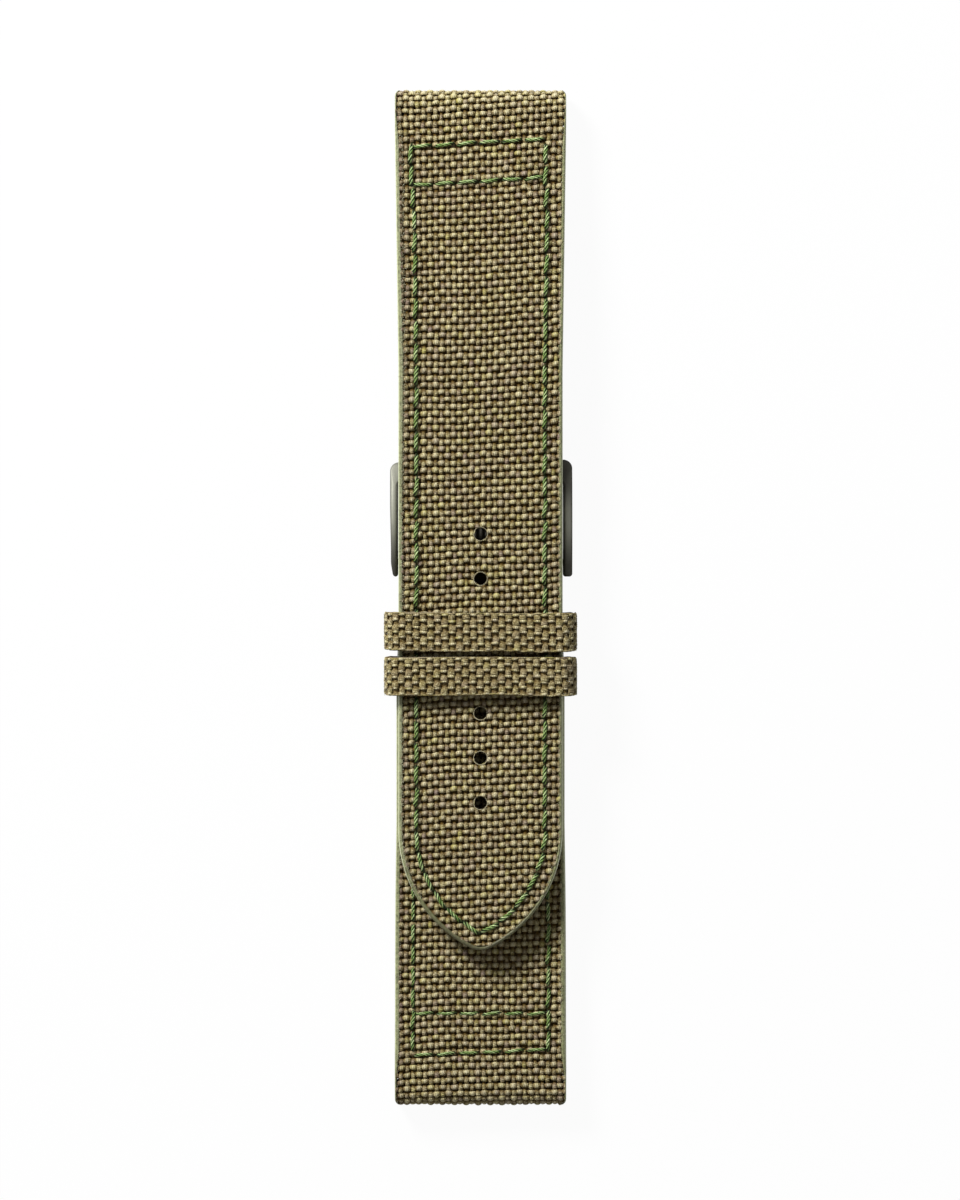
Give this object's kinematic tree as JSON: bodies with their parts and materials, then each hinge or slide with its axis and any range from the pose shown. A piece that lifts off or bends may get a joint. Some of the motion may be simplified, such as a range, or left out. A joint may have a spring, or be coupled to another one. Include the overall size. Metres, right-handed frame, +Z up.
{
  "type": "canvas watch strap",
  "caption": "Canvas watch strap of two stitched pieces, joined by a pin buckle and tucked through a fixed and a sliding keeper.",
  "frame": {"origin": "middle of the laid strap at table level", "axes": "+Y along the strap towards the long piece's watch end, +X across it, +Z up out of the face"},
  "size_m": [0.0262, 0.1364, 0.0087],
  "materials": {
    "canvas": "coarse plain weave, matte",
    "padding": "pressed felt",
    "lining": "fine grain, matte",
    "edge_paint": "smooth satin edge paint",
    "sleeve": "woven nylon tape",
    "thread": "twisted waxed thread",
    "buckle_steel": "dark satin coating",
    "bar_steel": "bright drawn steel"
  },
  "bodies": {
    "short_piece": {"short_face_canvas": "canvas", "short_core": "padding", "short_lining": "lining", "short_edge_seal": "edge_paint", "short_lug_sleeve": "sleeve", "short_stitching": "thread", "short_bobbin_thread": "thread", "fixed_keeper_canvas": "canvas", "fixed_keeper_lining": "lining", "buckle_bar_tube": "bar_steel", "buckle_bar_spring": "bar_steel"},
    "long_piece": {"long_face_canvas": "canvas", "long_core": "padding", "long_lining": "lining", "long_edge_seal": "edge_paint", "long_lug_sleeve": "sleeve", "long_stitching": "thread", "long_bobbin_thread": "thread"},
    "free_keeper": {"free_keeper_canvas": "canvas", "free_keeper_lining": "lining"},
    "tongue": {"buckle_tongue": "buckle_steel"},
    "frame": {"buckle_frame": "buckle_steel"},
    "bar_tip_left": {"buckle_bar_tip_left": "bar_steel"},
    "bar_tip_right": {"buckle_bar_tip_right": "bar_steel"}
  },
  "joints": [
    {"name": "tail_slide", "type": "slide", "parent": "short_piece", "child": "long_piece", "axis": [0, 1, 0], "range_m": [0, 0.05]},
    {"name": "keeper_slide", "type": "slide", "parent": "short_piece", "child": "free_keeper", "axis": [0, -1, 0], "range_m": [0, 0.025]},
    {"name": "tongue_pivot", "type": "hinge", "parent": "short_piece", "child": "tongue", "pos_m": [0, 0.0048, 0.00235], "axis": [1, 0, 0], "range_deg": [-70, 0]},
    {"name": "frame_pivot", "type": "hinge", "parent": "tongue", "child": "frame", "pos_m": [0, 0.0048, 0.00235], "axis": [1, 0, 0], "range_deg": [-60, 0]},
    {"name": "bar_tip_left_press", "type": "slide", "parent": "short_piece", "child": "bar_tip_left", "axis": [1, 0, 0], "range_m": [0, 0.001], "stiffness_N_per_m": 1500, "springref_m": -0.001, "deforming": ["buckle_bar_spring"]},
    {"name": "bar_tip_right_press", "type": "slide", "parent": "short_piece", "child": "bar_tip_right", "axis": [-1, 0, 0], "range_m": [0, 0.001], "stiffness_N_per_m": 1500, "springref_m": -0.001, "deforming": ["buckle_bar_spring"]}
  ]
}
